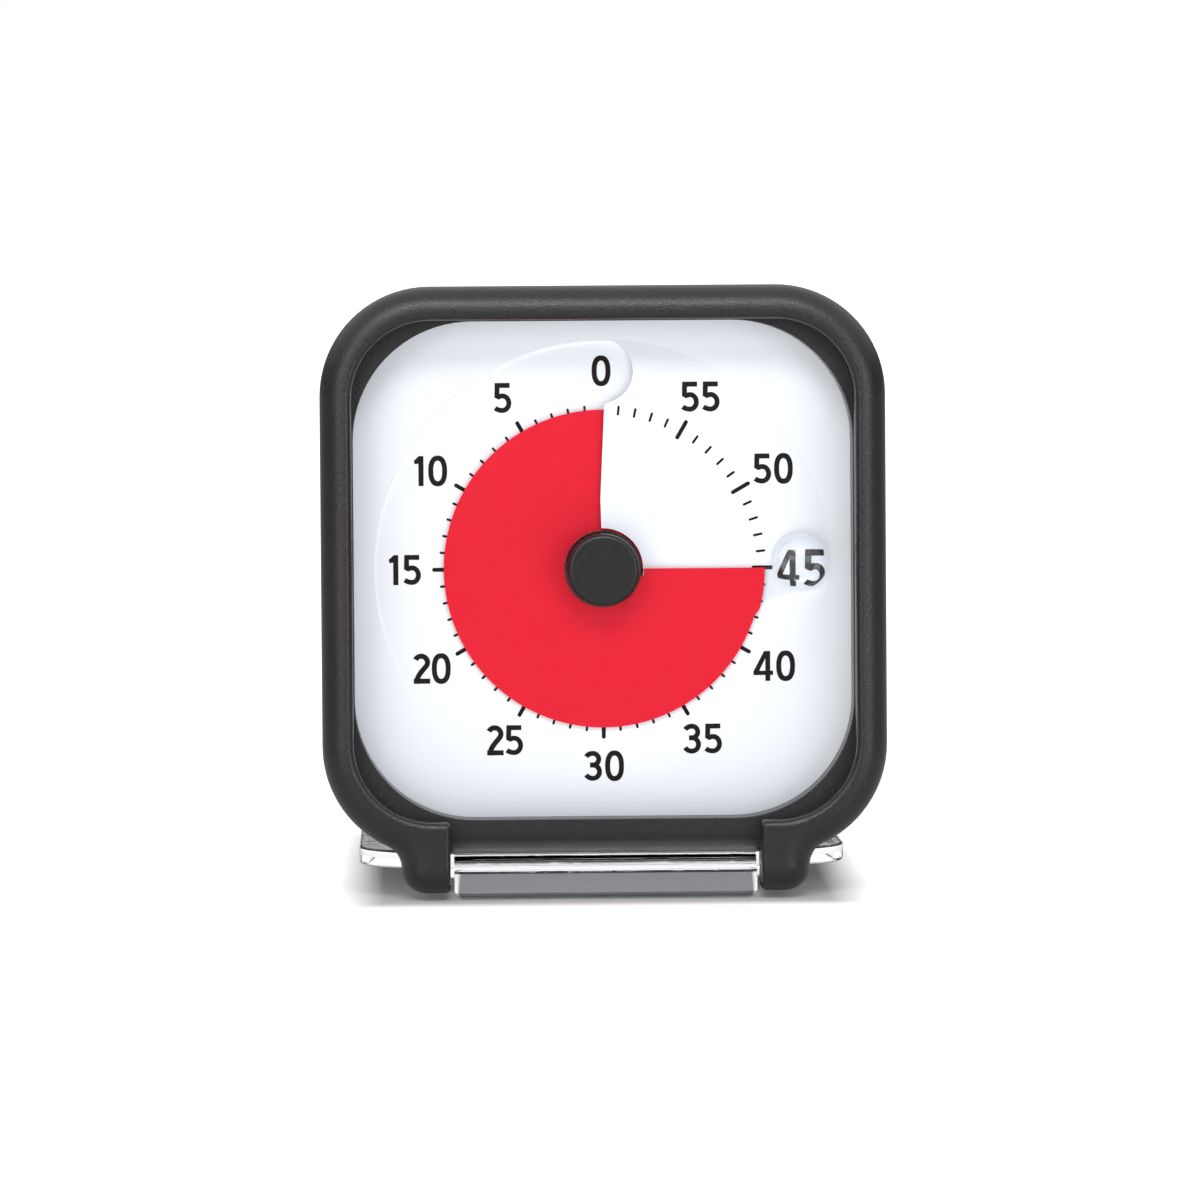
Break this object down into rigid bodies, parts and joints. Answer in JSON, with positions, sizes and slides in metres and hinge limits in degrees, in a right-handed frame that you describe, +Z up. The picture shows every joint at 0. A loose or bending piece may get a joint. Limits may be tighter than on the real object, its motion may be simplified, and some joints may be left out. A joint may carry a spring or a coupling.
{
  "type": "visual countdown timer",
  "caption": "Square desk timer whose red disk slides out of sight through a slit in the dial, standing on its folded-back clear cover.",
  "frame": {"origin": "on the table, under the middle of the object's box", "axes": "+Z up, -Y towards the reader of the dial, +X to the reader's right"},
  "size_m": [0.0762, 0.0784, 0.0827],
  "materials": {
    "black_case": "fine spark-eroded texture, black ABS",
    "white_dial": "smooth satin white",
    "red_film": "satin red film",
    "clear_plastic": "polished clear polystyrene",
    "movement_plastic": "moulded black",
    "wheel_plastic": "natural acetal",
    "steel": "zinc plated",
    "soft_iron": "pressed sheet",
    "copper": "enamelled copper wire",
    "board": "solder resist",
    "chip": "black potting",
    "nickel": "nickel plated",
    "beeper_brass": "plain brass disk",
    "lead_sleeve": "wire sleeve",
    "switch_plastic": "moulded black",
    "cell_jacket": "plain jacket with no print"
  },
  "bodies": {
    "case": {"front_housing": "black_case", "rear_cover": "black_case", "case_screws": "steel", "dial_plate": "white_dial", "movement_case": "movement_plastic", "movement_lid": "movement_plastic", "movement_screws": "steel", "stator": "soft_iron", "coil_core": "soft_iron", "coil_bobbin": "wheel_plastic", "coil_winding": "copper", "circuit_board": "board", "controller_chip": "chip", "quartz_crystal": "nickel", "beeper": "beeper_brass", "beeper_leads": "lead_sleeve", "switch_body": "switch_plastic", "switch_leads": "lead_sleeve", "battery": "cell_jacket", "positive_contact": "nickel", "battery_spring": "nickel"},
    "cover": {"clear_cover": "clear_plastic"},
    "setting": {"knob": "black_case", "arbor": "steel", "clutch_spring": "steel"},
    "disk": {"time_disk": "red_film", "finger_tab": "clear_plastic", "disk_hub": "clear_plastic"},
    "center": {"center_wheel": "wheel_plastic"},
    "third": {"third_wheel": "wheel_plastic"},
    "intermediate": {"intermediate_wheel": "wheel_plastic"},
    "rotor": {"rotor": "steel"},
    "door": {"battery_door": "black_case"},
    "switch": {"sound_switch": "switch_plastic"}
  },
  "joints": [
    {"name": "cover_swing", "type": "hinge", "parent": "case", "child": "cover", "pos_m": [0, -0.03527, 0.00324], "axis": [-1, 0, 0], "range_deg": [0, 270]},
    {"name": "timer_turn", "type": "hinge", "parent": "case", "child": "setting", "pos_m": [0, -0.02736, 0.04407], "axis": [0, -0.9989, 0.0464], "range_deg": [-270, 90]},
    {"name": "disk_ride", "type": "slide", "parent": "setting", "child": "disk", "axis": [0, -0.9989, 0.0464], "range_m": [-0.0012, 0.0004]},
    {"name": "rotor_spin", "type": "hinge", "parent": "case", "child": "rotor", "pos_m": [0.02039, -0.01482, 0.04463], "axis": [0, -0.9989, 0.0464], "continuous": true},
    {"name": "intermediate_turn", "type": "hinge", "parent": "case", "child": "intermediate", "pos_m": [0.0184, -0.01608, 0.05213], "axis": [0, -0.9989, 0.0464], "continuous": true},
    {"name": "third_turn", "type": "hinge", "parent": "case", "child": "third", "pos_m": [0.01015, -0.01855, 0.0484], "axis": [0, -0.9989, 0.0464], "continuous": true},
    {"name": "center_turn", "type": "hinge", "parent": "case", "child": "center", "pos_m": [0, -0.02107, 0.04378], "axis": [0, -0.9989, 0.0464], "continuous": true},
    {"name": "door_slide", "type": "slide", "parent": "case", "child": "door", "axis": [0, 0.9989, -0.0464], "range_m": [0, 0.02]},
    {"name": "switch_slide", "type": "slide", "parent": "case", "child": "switch", "axis": [1, 0, 0], "range_m": [0, 0.003]}
  ],
  "couplings": [
    {"joint": "timer_turn", "follows": "disk_ride", "rad_per_m": 3927},
    {"joint": "intermediate_turn", "follows": "rotor_spin", "ratio": -0.1},
    {"joint": "third_turn", "follows": "rotor_spin", "ratio": 0.0083333},
    {"joint": "center_turn", "follows": "rotor_spin", "ratio": -0.00055556}
  ]
}
